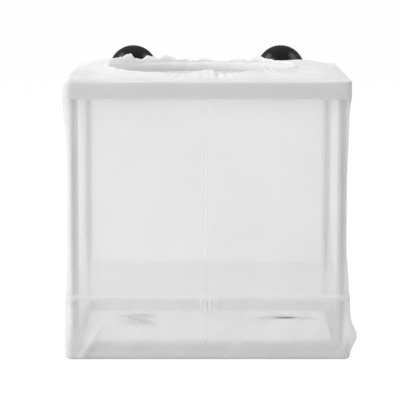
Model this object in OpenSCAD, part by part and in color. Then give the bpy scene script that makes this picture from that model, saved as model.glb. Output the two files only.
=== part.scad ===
// Fish breeding box: a fine net bag with a gathered mouth, stretched over a white plastic frame
// that plugs together, with a second net floor inside and two suction cups at the back.
// X is to the right, Y to the back and Z up. The origin is the middle of the base, on the ground.

/* [Overall] */
// Width over the net
box_w = 160; // [140:1:220]
// Depth over the net, without the suction cups
box_d = 156; // [140:1:220]
// Height over the net, without the gathered mouth
box_h = 157; // [120:1:220]

/* [Frame] */
// Height of the bars in the top and base rings
bar_h = 9.6; // [9:0.1:12]
// Thickness of the ring bars, from outside to inside
bar_t = 6.5; // [6:0.1:8]
// Wall of the hollow ring bars
bar_wall = 1.2; // [0.8:0.1:1.4]
// Rounding along the edges of the ring bars
bar_edge_r = 1.2; // [0.4:0.1:2]
// Width of the square posts
post_w = 4.6; // [4.5:0.1:6]
// Wall of the hollow posts
post_wall = 1.1; // [0.8:0.1:1.3]
// Rounding along the edges of the posts
post_edge_r = 2; // [0.5:0.1:2]
// How far the posts stand in from the outside of the rings
post_inset = 2.4; // [2.2:0.1:2.6]
// Width of the corner pieces
corner_w = 8.8; // [8.7:0.1:14]
// Rounding of the upright outside edge of the corner pieces
corner_r = 3.8; // [2:0.1:5]
// Length of the spigots that plug into the bars and posts
spigot_l = 8; // [4:0.5:16]
// Clearance round each spigot
spigot_gap = 0.1; // [0.05:0.01:0.2]
// Length of the narrower lead at the tip of each spigot
lead_l = 1.2; // [0.5:0.1:2]
// How much narrower the lead is, on each side
lead_in = 0.4; // [0.2:0.05:0.6]

/* [Net] */
// Thickness of the net
net_t = 0.5; // [0.3:0.05:0.6]
// Clearance between the net and the frame
net_gap = 0.2; // [0.1:0.05:0.4]
// How far the net wall is drawn in between the rings
net_draw = 2.2; // [0:0.1:2.3]
// How far the loose net bulges low down at the front right
net_bulge = 3.4; // [0:0.1:6]
// Place of the upright seam, from the middle of the front
seam_x = -1; // [-30:1:30]
// Width of the folded seams
seam_w = 1.4; // [0.8:0.1:3]
// Thickness of the folded seams
seam_t = 0.8; // [0.5:0.1:1]
// Clearance between a seam and the net that it closes
seam_gap = 0.1; // [0.05:0.05:0.3]

/* [Mouth] */
// Width of the mouth, left to right
mouth_w = 106; // [80:1:120]
// Depth of the mouth, front to back
mouth_d = 92; // [70:1:110]
// Place of the mouth's middle, left or right of the box's middle
mouth_x = -4; // [-6:1:6]
// Place of the mouth's middle, in front of or behind the box's middle
mouth_y = 2; // [-6:1:6]
// Height of the gathered hem over the top net
hem_h = 4.6; // [3:0.1:7]
// Width of the hem at its foot
hem_w = 3.6; // [3.4:0.1:5]
// How far the gathers swing in and out at the crest
hem_wave = 0.9; // [0:0.1:1.2]
// Number of gathers round the mouth
hem_waves = 20; // [10:10:20]
// Width of the top net that the gathers pull up round the hem
hem_skirt = 9; // [6:0.5:12]
// Diameter of the elastic cord in the hem
elastic_d = 1.2; // [0.8:0.1:1.4]

/* [Divider] */
// Height of the second floor where it meets the front
divider_front_z = 35.5; // [25:0.5:60]
// Height of the second floor where it meets the back
divider_rear_z = 30.5; // [25:0.5:60]
// Clearance round the posts in the second floor
post_gap = 0.5; // [0.3:0.1:1]

/* [Suction cups] */
// Diameter of the suction cups
cup_d = 30; // [24:1:36]
// Depth of a cup, from its back to its rim
cup_depth = 9.7; // [8:0.1:14]
// Depth of the hollow that grips the glass
cup_hollow = 7; // [3:0.1:7.5]
// Width of the flat rim
rim_w = 1.4; // [1:0.1:2]
// How far the middle of each cup is in from the side of the box
cup_inset = 33.6; // [25:0.1:50]
// Height of the cups above the middle of the top bar
cup_up = 0.5; // [0:0.1:0.6]
// Diameter of the cup's back, where the stem leaves it
hub_d = 11; // [9:0.5:14]
// Diameter of the stem that goes through the bar
neck_d = 4; // [3:0.1:4.4]
// Running clearance round the stem
neck_gap = 0.08; // [0.05:0.01:0.1]
// Diameter of the button that holds the stem inside the bar
head_d = 5.8; // [5:0.1:6]
// Thickness of the button
head_t = 2; // [1:0.1:2.4]
// Clearance in front of and behind the bar and net that the stem holds
cup_gap = 0.2; // [0.1:0.05:0.4]
// Clearance round the stem in the net
net_hole_gap = 0.6; // [0.3:0.1:1]

/* [Hidden] */

// Which way each part of the frame lies from the middle
left = -1;
right = 1;
front = -1;
rear = 1;
base = -1;
top = 1;

// The frame, inside the net
skin = net_t + net_gap;
frame_w = box_w - 2 * skin;
frame_d = box_d - 2 * skin;
frame_base_z = skin;
frame_top_z = box_h - skin;
frame_h = frame_top_z - frame_base_z;
top_bar_under_z = frame_top_z - bar_h;
post_at = post_inset + post_w / 2;

// The net bag
net_r = corner_r + skin;
arc_steps = 4;
wall_side_steps = 6;
top_side_steps = 16;
low_steps = 6;
high_steps = 7;
wall_rows = low_steps + high_steps + 2;
draw_power = 0.6;
bulge_power = 0.8;

// The suction cups
cup_x = box_w / 2 - cup_inset;
cup_z = frame_top_z - bar_h / 2 + cup_up;
cup_back_y = box_d / 2 + cup_gap;
head_y = frame_d / 2 - bar_wall - cup_gap;
cup_bands = 4;

$fn = 48;

// The frame

module round_bar_section(across, up, r) {
    square([across - 2 * r, up], center = true);
    square([across, up - 2 * r], center = true);
    for (x = [-1, 1], y = [-1, 1])
        translate([x * (across / 2 - r), y * (up / 2 - r)])
            circle(r);
}

module hollow_bar(length, across, up, wall, r) {
    linear_extrude(length, center = true)
        difference() {
            round_bar_section(across, up, r);
            square([across - 2 * wall, up - 2 * wall], center = true);
        }
}

module ring_bar_x(y_side, z_mid) {
    translate([0, y_side * (frame_d - bar_t) / 2, z_mid])
        rotate([90, 0, 90])
            hollow_bar(frame_w - 2 * corner_w, bar_t, bar_h, bar_wall, bar_edge_r);
}

module ring_bar_y(x_side, z_mid) {
    translate([x_side * (frame_w - bar_t) / 2, 0, z_mid])
        rotate([90, 0, 0])
            hollow_bar(frame_d - 2 * corner_w, bar_t, bar_h, bar_wall, bar_edge_r);
}

module ring_bar(side, level) {
    z_mid = level == top ? frame_top_z - bar_h / 2 : frame_base_z + bar_h / 2;
    color("white")
        if (side == "front") ring_bar_x(front, z_mid);
        else if (side == "rear") ring_bar_x(rear, z_mid);
        else if (side == "left") ring_bar_y(left, z_mid);
        else ring_bar_y(right, z_mid);
}

// The back top bar has a hole in its outer wall for the stem of each suction cup
module top_bar_with_stem_holes() {
    color("white")
        difference() {
            ring_bar("rear", top);
            for (side = [left, right])
                translate([side * cup_x, frame_d / 2 - 2 * bar_wall, cup_z])
                    rotate([-90, 0, 0])
                        cylinder(h = 3 * bar_wall, r = neck_d / 2 + neck_gap);
        }
}

module post(x_side, y_side) {
    color("white")
        translate([x_side * (frame_w / 2 - post_at), y_side * (frame_d / 2 - post_at),
                (frame_base_z + frame_top_z) / 2])
            hollow_bar(frame_h - 2 * bar_h, post_w, post_w, post_wall, post_edge_r);
}

// A spigot runs up +Z from the corner block, in a bar or post of the given size
module spigot(across, up, wall) {
    w = across - 2 * (wall + spigot_gap);
    h = up - 2 * (wall + spigot_gap);
    translate([-w / 2, -h / 2, -1])
        cube([w, h, spigot_l - lead_l + 1]);
    translate([lead_in - w / 2, lead_in - h / 2, -1])
        cube([w - 2 * lead_in, h - 2 * lead_in, spigot_l + 1]);
}

// The corner at the right, back and top, with its outside corner at the origin
module corner_shape() {
    translate([0, 0, -bar_h])
        linear_extrude(bar_h) {
            translate([-corner_w, -corner_w])
                square([corner_w - corner_r, corner_w]);
            translate([-corner_w, -corner_w])
                square([corner_w, corner_w - corner_r]);
            translate([-corner_r, -corner_r])
                circle(corner_r);
        }
    translate([-corner_w, -bar_t / 2, -bar_h / 2])
        rotate([0, -90, 0])
            spigot(bar_h, bar_t, bar_wall);
    translate([-bar_t / 2, -corner_w, -bar_h / 2])
        rotate([90, 0, 0])
            spigot(bar_t, bar_h, bar_wall);
    translate([-post_at, -post_at, -bar_h])
        rotate([180, 0, 0])
            spigot(post_w, post_w, post_wall);
}

module corner(x_side, y_side, level) {
    color("white")
        translate([x_side * frame_w / 2, y_side * frame_d / 2,
                level == top ? frame_top_z : frame_base_z])
            mirror([x_side == left ? 1 : 0, 0, 0])
                mirror([0, y_side == front ? 1 : 0, 0])
                    mirror([0, 0, level == base ? 1 : 0])
                        corner_shape();
}

// The net bag. Its plan is a rounded rectangle, given as columns of [x, y, outward x, outward y]

function plan_columns(side_steps) = [
    for (q = [0 : 3])
        let (sx = q == 0 || q == 3 ? 1 : -1,
            sy = q < 2 ? 1 : -1,
            cx = sx * (box_w / 2 - net_r),
            cy = sy * (box_d / 2 - net_r),
            a_end = 90 * (q + 1),
            nx = cos(a_end),
            ny = sin(a_end),
            run = abs(nx) > 0.5 ? box_d - 2 * net_r : box_w - 2 * net_r)
            each [
                for (k = [0 : arc_steps])
                    let (a = 90 * (q + k / arc_steps))
                        [cx + net_r * cos(a), cy + net_r * sin(a), cos(a), sin(a)],
                for (k = [1 : side_steps - 1])
                    let (s = run * k / side_steps)
                        [cx + net_r * nx - ny * s, cy + net_r * ny + nx * s, nx, ny]
            ]
];

// Height of the divider at a place from front to back
function divider_z(y) =
    divider_front_z + (divider_rear_z - divider_front_z) * (y + box_d / 2) / box_d;

// Height of each row of the wall, which follows the divider's slope
function wall_z(row, y) =
    row <= low_steps
        ? net_t + (divider_z(y) - net_t) * row / low_steps
        : row <= low_steps + high_steps
            ? divider_z(y) + (top_bar_under_z - divider_z(y)) * (row - low_steps) / high_steps
            : box_h - net_t;

// How far the wall stands out from its plan: less than nothing where it is drawn in
function wall_out(row, c) =
    row < low_steps
        ? net_bulge * sin(180 * pow(row / low_steps, bulge_power))
            * max(0, c[2]) * (0.5 - c[1] / box_d)
        : row < low_steps + high_steps
            ? -net_draw * pow(max(0, sin(180 * (row - low_steps) / high_steps)), draw_power)
            : 0;

function wall_point(row, c, inwards) =
    let (out = wall_out(row, c) - inwards)
        [c[0] + c[2] * out, c[1] + c[3] * out, wall_z(row, c[1])];

// A sheet with thickness that closes on itself: rows of points on its two faces
module closed_sheet(outer, inner) {
    rows = len(outer);
    cols = len(outer[0]);
    start = rows * cols;
    points = [for (face = [outer, inner], row = face, p = row) p];
    sides = [
        for (r = [0 : rows - 2], c = [0 : cols - 1])
            let (d = (c + 1) % cols,
                a = r * cols + c, b = r * cols + d,
                e = a + cols, f = b + cols)
                each [[a, e, f], [a, f, b],
                    [start + a, start + f, start + e], [start + a, start + b, start + f]]
    ];
    rims = [
        for (c = [0 : cols - 1])
            let (d = (c + 1) % cols, last = (rows - 1) * cols)
                each [[c, d, start + d], [c, start + d, start + c],
                    [last + c, start + last + d, last + d],
                    [last + c, start + last + c, start + last + d]]
    ];
    polyhedron(points, concat(sides, rims), convexity = 6);
}

// A bar that closes on itself, from the same number of points at each stop on its way
module closed_loop(stops) {
    n = len(stops);
    m = len(stops[0]);
    faces = [
        for (i = [0 : n - 1], k = [0 : m - 1])
            let (a = i * m + k, b = i * m + (k + 1) % m,
                e = (i + 1) % n * m + k, f = (i + 1) % n * m + (k + 1) % m)
                each [[a, b, f], [a, f, e]]
    ];
    polyhedron([for (stop = stops, p = stop) p], faces, convexity = 6);
}

module wall_net() {
    columns = plan_columns(wall_side_steps);
    color("gainsboro")
        difference() {
            closed_sheet(
                [for (r = [0 : wall_rows - 1]) [for (c = columns) wall_point(r, c, 0)]],
                [for (r = [0 : wall_rows - 1]) [for (c = columns) wall_point(r, c, net_t)]]);
            for (side = [left, right])
                translate([side * cup_x, box_d / 2 - 2 * net_t, cup_z])
                    rotate([-90, 0, 0])
                        cylinder(h = 3 * net_t, r = neck_d / 2 + net_hole_gap);
        }
}

module bottom_net() {
    color("gainsboro")
        linear_extrude(net_t)
            round_bar_section(box_w, box_d, net_r);
}

module divider_net() {
    slope = atan((divider_front_z - divider_rear_z) / box_d);
    hole = post_w + 2 * post_gap;
    color("gainsboro")
        translate([0, 0, (divider_front_z + divider_rear_z) / 2])
            rotate([-slope, 0, 0])
                linear_extrude(net_t, center = true)
                    difference() {
                        round_bar_section(box_w - 2 * skin, (box_d - 2 * skin) / cos(slope),
                            corner_r);
                        for (x = [left, right], y = [front, rear])
                            translate([x * (frame_w / 2 - post_at), y * (frame_d / 2 - post_at)])
                                square(hole, center = true);
                    }
}

// The mouth. A column of the top net meets the oval at its own share of the way round
mouth_columns = plan_columns(top_side_steps);
mouth_n = len(mouth_columns);

function mouth_angle(i) = 45 + 360 * (i - arc_steps / 2) / mouth_n;

function mouth_point(i, out, up) =
    [mouth_x + (mouth_w / 2 + out) * cos(mouth_angle(i)),
        mouth_y + (mouth_d / 2 + out) * sin(mouth_angle(i)),
        box_h + up];

function gather(i) = sin(360 * hem_waves * i / mouth_n);

// The crest rises and falls a little along the mouth, as hand gathers do
function crest_z(i) =
    hem_h * (0.86 + 0.09 * sin(3 * mouth_angle(i)) + 0.05 * sin(7 * mouth_angle(i) + 40));

module top_net() {
    crest = hem_w / 2;
    upper = [
        [for (c = mouth_columns) [c[0], c[1], box_h]],
        [for (i = [0 : mouth_n - 1]) mouth_point(i, hem_w + hem_skirt, 0)],
        [for (i = [0 : mouth_n - 1]) mouth_point(i, hem_w, 0.4)],
        [for (i = [0 : mouth_n - 1]) mouth_point(i, crest + hem_wave * gather(i), crest_z(i))],
        [for (i = [0 : mouth_n - 1]) mouth_point(i, 0, 0)]
    ];
    lower = [
        [for (c = mouth_columns) [c[0], c[1], box_h - net_t]],
        [for (i = [0 : mouth_n - 1]) mouth_point(i, hem_w + hem_skirt, -net_t)],
        [for (i = [0 : mouth_n - 1]) mouth_point(i, hem_w - net_t, -net_t / 2)],
        [for (i = [0 : mouth_n - 1])
            mouth_point(i, crest + hem_wave * gather(i), crest_z(i) - 2 * net_t)],
        [for (i = [0 : mouth_n - 1]) mouth_point(i, net_t, -net_t / 2)]
    ];
    color("whitesmoke")
        closed_sheet(upper, lower);
}

module mouth_elastic() {
    sides = 6;
    rings = 60;
    color("white")
        closed_loop([
            for (i = [0 : rings - 1])
                [for (k = [0 : sides - 1])
                    mouth_point(i * mouth_n / rings,
                        hem_w / 2 + elastic_d / 2 * cos(360 * k / sides),
                        elastic_d / 2 * sin(360 * k / sides))]
        ]);
}

// A place on the wall between two of its rows
function wall_between(row, c, inwards) =
    let (below = floor(row), share = row - below)
        wall_point(below, c, inwards) * (1 - share) + wall_point(below + 1, c, inwards) * share;

// The upright seam that closes the wall into a ring, on the inside of the front. The lower length
// stops below the divider's seam, and the upper one starts above the divider
front_seam_at = [seam_x, -box_d / 2, 0, -1];

module front_seam_lower() {
    row_h = (divider_front_z - net_t) / low_steps;
    stop = low_steps - (net_t / 2 + seam_w + 2 * seam_gap) / row_h;
    seam_run(front_seam_at, [for (r = [2 : low_steps - 1]) r, stop]);
}

module front_seam_upper() {
    row_h = (top_bar_under_z - divider_front_z) / high_steps;
    start = low_steps + (net_t / 2 + seam_gap) / row_h;
    seam_run(front_seam_at, [start, for (r = [low_steps + 1 : low_steps + high_steps - 1]) r]);
}

module seam_run(at, stops) {
    rows = [
        for (r = stops)
            let (near = wall_between(r, at, net_t + seam_gap),
                far = wall_between(r, at, net_t + seam_gap + seam_t))
                [near + [-seam_w / 2, 0, 0], near + [seam_w / 2, 0, 0],
                    far + [seam_w / 2, 0, 0], far + [-seam_w / 2, 0, 0]]
    ];
    n = len(rows);
    sides = [
        for (r = [0 : n - 2], k = [0 : 3])
            let (a = 4 * r + k, b = 4 * r + (k + 1) % 4)
                each [[a, a + 4, b + 4], [a, b + 4, b]]
    ];
    tip = 4 * (n - 1);
    ends = [[0, 1, 2], [0, 2, 3], [tip, tip + 2, tip + 1], [tip, tip + 3, tip + 2]];
    color("white")
        polyhedron([for (row = rows, p = row) p], concat(sides, ends), convexity = 4);
}

// The seam that joins the divider to the wall all the way round, under the divider
module divider_seam() {
    near = net_t + seam_gap;
    far = near + seam_t;
    high = -(net_t / 2 + seam_gap);
    low = high - seam_w;
    color("white")
        closed_loop([
            for (c = plan_columns(wall_side_steps))
                [for (s = [[near, low], [near, high], [far, high], [far, low]])
                    wall_point(low_steps, c, s[0]) + [0, 0, s[1]]]
        ]);
}

// A rubber cup with a stem through the net and the bar, and a button inside the bar. Its back and
// its hollow follow balls, in bands: the back runs from the hub to the rim, the hollow from rim to middle
function ball_bands(radius, centre_z, from, to) = [
    for (k = [0 : cup_bands])
        let (a = from + (to - from) * k / cup_bands)
            [radius * sin(a), centre_z - radius * cos(a)]
];

module suction_cup(side) {
    rim_r = cup_d / 2;
    hub_r = hub_d / 2;
    lip_r = rim_r - rim_w;
    edge_z = cup_depth - rim_w;
    back_centre = (rim_r * rim_r + edge_z * edge_z - hub_r * hub_r) / (2 * edge_z);
    back_ball = sqrt(hub_r * hub_r + back_centre * back_centre);
    hollow_ball = (lip_r * lip_r + cup_hollow * cup_hollow) / (2 * cup_hollow);
    button_z = head_y - cup_back_y;
    color("#202020")
        translate([side * cup_x, cup_back_y, cup_z])
            rotate([-90, 0, 0])
                rotate_extrude()
                    polygon(concat(
                        [[0, button_z - head_t], [head_d / 2, button_z - head_t],
                            [head_d / 2, button_z], [neck_d / 2, button_z], [neck_d / 2, 0]],
                        ball_bands(back_ball, back_centre, asin(hub_r / back_ball),
                            atan2(rim_r, back_centre - edge_z)),
                        [[rim_r, cup_depth]],
                        ball_bands(hollow_ball, cup_depth - cup_hollow + hollow_ball,
                            asin(lip_r / hollow_ball), 0)));
}

corner(left, front, top);  // top_corner_front_left
corner(right, front, top);  // top_corner_front_right
corner(left, rear, top);  // top_corner_rear_left
corner(right, rear, top);  // top_corner_rear_right
corner(left, front, base);  // base_corner_front_left
corner(right, front, base);  // base_corner_front_right
corner(left, rear, base);  // base_corner_rear_left
corner(right, rear, base);  // base_corner_rear_right
ring_bar("front", top);  // top_bar_front
top_bar_with_stem_holes();  // top_bar_rear
ring_bar("left", top);  // top_bar_left
ring_bar("right", top);  // top_bar_right
ring_bar("front", base);  // base_bar_front
ring_bar("rear", base);  // base_bar_rear
ring_bar("left", base);  // base_bar_left
ring_bar("right", base);  // base_bar_right
post(left, front);  // post_front_left
post(right, front);  // post_front_right
post(left, rear);  // post_rear_left
post(right, rear);  // post_rear_right
top_net();
wall_net();
bottom_net();
divider_net();
mouth_elastic();
front_seam_upper();
front_seam_lower();
divider_seam();
suction_cup(left);  // suction_cup_left
suction_cup(right);  // suction_cup_right
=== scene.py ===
# A breeding box for fish fry: a bag of fine net pulled over a white frame that plugs together, with
# a gathered mouth, a second net floor and two suction cups for the aquarium's glass.
# The frame of reference is the CAD's. Shapes are worked out in millimetres, and meshes are in metres.
import math
import random

import bpy
import numpy as np
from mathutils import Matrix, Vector


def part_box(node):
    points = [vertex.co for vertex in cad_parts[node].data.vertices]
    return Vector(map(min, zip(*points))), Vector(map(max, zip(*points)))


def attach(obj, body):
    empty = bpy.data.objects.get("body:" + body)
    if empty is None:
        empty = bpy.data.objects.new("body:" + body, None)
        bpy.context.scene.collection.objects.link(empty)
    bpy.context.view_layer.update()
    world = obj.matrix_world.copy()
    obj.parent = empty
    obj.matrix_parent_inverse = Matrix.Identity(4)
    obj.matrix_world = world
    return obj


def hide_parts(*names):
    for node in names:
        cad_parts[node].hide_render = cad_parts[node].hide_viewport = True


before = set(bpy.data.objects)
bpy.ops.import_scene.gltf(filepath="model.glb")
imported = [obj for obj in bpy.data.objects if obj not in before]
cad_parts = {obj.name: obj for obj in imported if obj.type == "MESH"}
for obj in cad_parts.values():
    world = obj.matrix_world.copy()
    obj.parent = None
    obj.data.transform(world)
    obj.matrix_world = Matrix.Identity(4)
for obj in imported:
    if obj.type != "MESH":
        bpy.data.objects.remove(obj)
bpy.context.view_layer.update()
MM = 0.001
scene = bpy.context.scene
scene.view_settings.view_transform = "Standard"


# THE VIEW
# The box is looked at from straight ahead and far off, from a little above, so that its sides stay
# upright and its top shows as a narrow strip.
camera_data = bpy.data.cameras.new("photo_camera")
camera_data.sensor_width = 36
camera_data.lens = 186.6
camera_data.clip_start = 0.1
camera_data.clip_end = 30
camera = bpy.data.objects.new("photo_camera", camera_data)
camera.location = (-0.0044, -1.219, 0.2425)
camera.rotation_euler = (math.radians(90 - 7.58), 0, 0)
scene.collection.objects.link(camera)
scene.camera = camera


# THE FRAME
# Eight hollow bars and four hollow posts are pushed over the spigots of eight corner pieces. All are
# injection-moulded in white polypropylene, and the net bag over them keeps them together.
def linear(code):
    """The linear colour of an sRGB hex code."""
    shares = [int(code[k:k + 2], 16) / 255 for k in (1, 3, 5)]
    return [c / 12.92 if c <= 0.04045 else ((c + 0.055) / 1.055) ** 2.4 for c in shares] + [1.0]


def start_material(name):
    """An empty material and its node tree."""
    material = bpy.data.materials.new(name)
    material.use_nodes = True
    material.node_tree.nodes.clear()
    return material, material.node_tree


def add_node(tree, kind, settings=None, inputs=None):
    """Adds a node with its settings. An input is a value, or the output that it is linked to."""
    node = tree.nodes.new(kind)
    for name, value in (settings or {}).items():
        setattr(node, name, value)
    for name, value in (inputs or {}).items():
        if isinstance(value, bpy.types.NodeSocket):
            tree.links.new(value, node.inputs[name])
        else:
            node.inputs[name].default_value = value
    return node


# Moulded polypropylene: a milky white with a soft shine, and a fine spark-eroded grain from the
# mould. The flow of the plastic leaves faint clouds some 25 mm wide. The rings are painted a little
# lighter towards the back, and so is the foot of the rear posts: this is painted light. Each post
# has a painted shade line down the middle of its sides.
PLASTIC_WHITE = "#CECECC"
PLASTIC_CLOUD = "#C6C6C4"
# Painted light: the plastic is drawn lighter towards the back of the rings and at the foot of the rear
# posts
PLASTIC_REAR_PAINTED_LIGHT = "#F2F2F0"
# Painted shade: a darker grey line down the middle of each side of each post
PLASTIC_PAINTED_SHADE_LINE = "#A2A2A0"
PAINTED_LIGHT_FROM_MM, PAINTED_LIGHT_TO_MM = 20, 65
SHADE_LINE_CORE_MM, SHADE_LINE_EDGE_MM = 0.2, 1.2
CLOUD_MM = 25
GRAIN_MM = 0.5  # the real grain is near 0.05 mm, and is drawn coarser so that it shows
GRAIN_DEEP_MM = 0.03


def moulded_polypropylene(name, shade_line_at=None):
    """The frame's plastic. shade_line_at is how far the posts' painted shade lines are from the box's
    middle, in mm.
    """
    material, tree = start_material(name)
    place = add_node(tree, "ShaderNodeTexCoord").outputs["Object"]
    clouds = add_node(tree, "ShaderNodeTexNoise", None,
                      {"Vector": place, "Scale": 1 / (CLOUD_MM * MM), "Detail": 2.0})
    tint = add_node(tree, "ShaderNodeMix", {"data_type": "RGBA"},
                    {0: clouds.outputs["Fac"], 6: linear(PLASTIC_WHITE), 7: linear(PLASTIC_CLOUD)})
    reach = add_node(tree, "ShaderNodeSeparateXYZ", None, {0: place})
    # Painted light: the colour turns lighter towards the back, and for the posts towards the back and
    # low down
    low_and_back = add_node(tree, "ShaderNodeMath", {"operation": "SUBTRACT"},
                            {0: reach.outputs["Y"], 1: reach.outputs["Z"]})
    painted_light_to_rear = add_node(tree, "ShaderNodeMapRange", None,
                       {"Value": low_and_back.outputs[0] if shade_line_at else reach.outputs["Y"],
                        "From Min": PAINTED_LIGHT_FROM_MM * MM, "From Max": PAINTED_LIGHT_TO_MM * MM})
    tint = add_node(tree, "ShaderNodeMix", {"data_type": "RGBA"},
                    {0: painted_light_to_rear.outputs[0], 6: tint.outputs[2], 7: linear(PLASTIC_REAR_PAINTED_LIGHT)})
    # Painted shade: near the middle of each post's sides the colour is mixed towards the darker grey
    if shade_line_at:
        asides = []
        for axis, middle in zip("XY", shade_line_at):
            from_middle = add_node(tree, "ShaderNodeMath", {"operation": "ABSOLUTE"},
                                   {0: reach.outputs[axis]})
            from_line = add_node(tree, "ShaderNodeMath", {"operation": "SUBTRACT"},
                                 {0: from_middle.outputs[0], 1: middle * MM})
            asides.append(add_node(tree, "ShaderNodeMath", {"operation": "ABSOLUTE"},
                                   {0: from_line.outputs[0]}))
        nearer = add_node(tree, "ShaderNodeMath", {"operation": "MINIMUM"},
                          {0: asides[0].outputs[0], 1: asides[1].outputs[0]})
        line = add_node(tree, "ShaderNodeMapRange", {"interpolation_type": "SMOOTHSTEP"},
                        {"Value": nearer.outputs[0], "From Min": SHADE_LINE_CORE_MM * MM,
                         "From Max": SHADE_LINE_EDGE_MM * MM, "To Min": 1.0, "To Max": 0.0})
        tint = add_node(tree, "ShaderNodeMix", {"data_type": "RGBA"},
                        {0: line.outputs[0], 6: tint.outputs[2], 7: linear(PLASTIC_PAINTED_SHADE_LINE)})
    grain = add_node(tree, "ShaderNodeTexNoise", None,
                     {"Vector": place, "Scale": 1 / (GRAIN_MM * MM), "Detail": 3.0})
    shine = add_node(tree, "ShaderNodeMapRange", None,
                     {"Value": grain.outputs["Fac"], "To Min": 0.36, "To Max": 0.46})
    relief = add_node(tree, "ShaderNodeBump", None,
                      {"Height": grain.outputs["Fac"], "Strength": 0.12,
                       "Distance": GRAIN_DEEP_MM * MM})
    surface = add_node(tree, "ShaderNodeBsdfPrincipled", None,
                       {"Base Color": tint.outputs[2], "Roughness": shine.outputs[0], "IOR": 1.49,
                        "Normal": relief.outputs[0]})
    add_node(tree, "ShaderNodeOutputMaterial", None, {"Surface": surface.outputs[0]})
    return material


post_low, post_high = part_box("post_front_right")
post_middle = (post_low + post_high) / 2 / MM
post_plastic = moulded_polypropylene("post_polypropylene_moulded", (post_middle.x, -post_middle.y))
ring_plastic = moulded_polypropylene("ring_polypropylene_moulded")
for name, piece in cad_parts.items():
    if name.startswith(("top_corner", "base_corner", "top_bar", "base_bar", "post")):
        for material_slot in piece.material_slots:
            material_slot.material = post_plastic if name.startswith("post") else ring_plastic


# THE NET
# All the net is one woven nylon tulle, cut with a hot knife. Threads cross on the bias, and hairs
# stand across the holes between them, so two or three layers still let the light through.
THREAD_MM = 0.21  # single threads don't show in the photograph, so their width and pitch are guessed
PITCH_MM = 0.72
PATCH_MM = 25
CLOSED_AT_THREAD = 0.75
CLOSED_IN_HOLE = 0.47
NYLON_WHITE = "#EAEAEB"
NYLON_SHADE = "#E3E3E4"
# Painted shade: along sharp creases the net's colour is mixed towards this dark grey
NYLON_PAINTED_CREASE_SHADE = "#5A5A5C"  # a sharp crease, where the cloth shades itself

# Nylon thread: white and dull, since it is a bundle of fine filaments, and about half of the light
# that it doesn't swallow goes on through. Each further layer of the net closes the holes more.
nylon_net, tree = start_material("net_nylon_woven")
across = add_node(tree, "ShaderNodeUVMap", {"uv_map": "cut_in_metres"})
bias = add_node(tree, "ShaderNodeMapping", None,
                {"Vector": across.outputs[0], "Rotation": (0, 0, math.radians(45)),
                 "Scale": (1 / (PITCH_MM * MM),) * 3})
threads = add_node(tree, "ShaderNodeSeparateXYZ", None, {0: bias.outputs[0]})
nearest = []
for axis in ("X", "Y"):
    turn = add_node(tree, "ShaderNodeMath", {"operation": "PINGPONG"},
                    {0: threads.outputs[axis], 1: 0.5})
    nearest.append(turn.outputs[0])
gap_to_thread = add_node(tree, "ShaderNodeMath", {"operation": "MINIMUM"},
                         {0: nearest[0], 1: nearest[1]})
half_thread = THREAD_MM / PITCH_MM / 2
thread = add_node(tree, "ShaderNodeMapRange", {"interpolation_type": "SMOOTHSTEP"},
                  {"Value": gap_to_thread.outputs[0], "From Min": half_thread * 0.5,
                   "From Max": half_thread * 1.5, "To Min": 1 - CLOSED_AT_THREAD,
                   "To Max": 1 - CLOSED_IN_HOLE})
cloth_layers = add_node(tree, "ShaderNodeAttribute", {"attribute_name": "layers"})
left_open = add_node(tree, "ShaderNodeMath", {"operation": "POWER"},
                     {0: thread.outputs[0], 1: cloth_layers.outputs["Fac"]})
place = add_node(tree, "ShaderNodeTexCoord").outputs["Object"]
patches = add_node(tree, "ShaderNodeTexNoise", None,
                   {"Vector": place, "Scale": 1 / (PATCH_MM * MM), "Detail": 1.0})
tint = add_node(tree, "ShaderNodeMix", {"data_type": "RGBA"},
                {0: patches.outputs["Fac"], 6: linear(NYLON_WHITE), 7: linear(NYLON_SHADE)})
# Painted shade: where a crease is marked, the thread's colour turns dark grey
painted_crease_shade = add_node(tree, "ShaderNodeAttribute", {"attribute_name": "painted_crease_shade"})
tint = add_node(tree, "ShaderNodeMix", {"data_type": "RGBA"},
                {0: painted_crease_shade.outputs["Fac"], 6: tint.outputs[2], 7: linear(NYLON_PAINTED_CREASE_SHADE)})
near_side = add_node(tree, "ShaderNodeBsdfPrincipled", None,
                     {"Base Color": tint.outputs[2], "Roughness": 0.6, "IOR": 1.53,
                      "Specular IOR Level": 0.15})
far_side = add_node(tree, "ShaderNodeBsdfTranslucent", None, {"Color": tint.outputs[2]})
filaments = add_node(tree, "ShaderNodeMixShader", None,
                     {0: 0.5, 1: near_side.outputs[0], 2: far_side.outputs[0]})
hole = add_node(tree, "ShaderNodeBsdfTransparent")
weave = add_node(tree, "ShaderNodeMixShader", None,
                 {0: left_open.outputs[0], 1: filaments.outputs[0], 2: hole.outputs[0]})
add_node(tree, "ShaderNodeOutputMaterial", None, {"Surface": weave.outputs[0]})


# THE BAG'S WALL
# One strip of net goes round the four sides and is closed by an upright seam in the front. It is
# pulled tight between the two rings, so it draws in there, and hangs loose below the second floor.
NET_MM = 0.5
bag_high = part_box("bottom_net")[1]
BOX_HALF_W, BOX_HALF_D = bag_high.x / MM, bag_high.y / MM
HALF_W, HALF_D = BOX_HALF_W - NET_MM / 2, BOX_HALF_D - NET_MM / 2
ROOF_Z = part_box("wall_net")[1].z / MM + NET_MM / 2
UNDER_TOP_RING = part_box("top_bar_front")[0].z / MM
WALL_TOP_Z = 156.6
BAG_CORNER_R = 4.25
SEAM_X = -1
SECOND_FLOOR_Z, SECOND_FLOOR_DROP = 35.5, 5
DRAWN_IN = 2.2
SAG_MM, SAG_Z, SAG_HIGH = 3.9, 13.2, 6.6
LEFT_LOOSE_LOW, LEFT_LOOSE_HIGH = 0.8, 1.1
TURNED_IN_LOW, TURNED_IN_HIGH = 1.5, 0.5
PUFF_X, PUFF_Y, PUFF_HIGH, PUFF_WIDE = -79, -77, 2.2, 16


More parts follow.
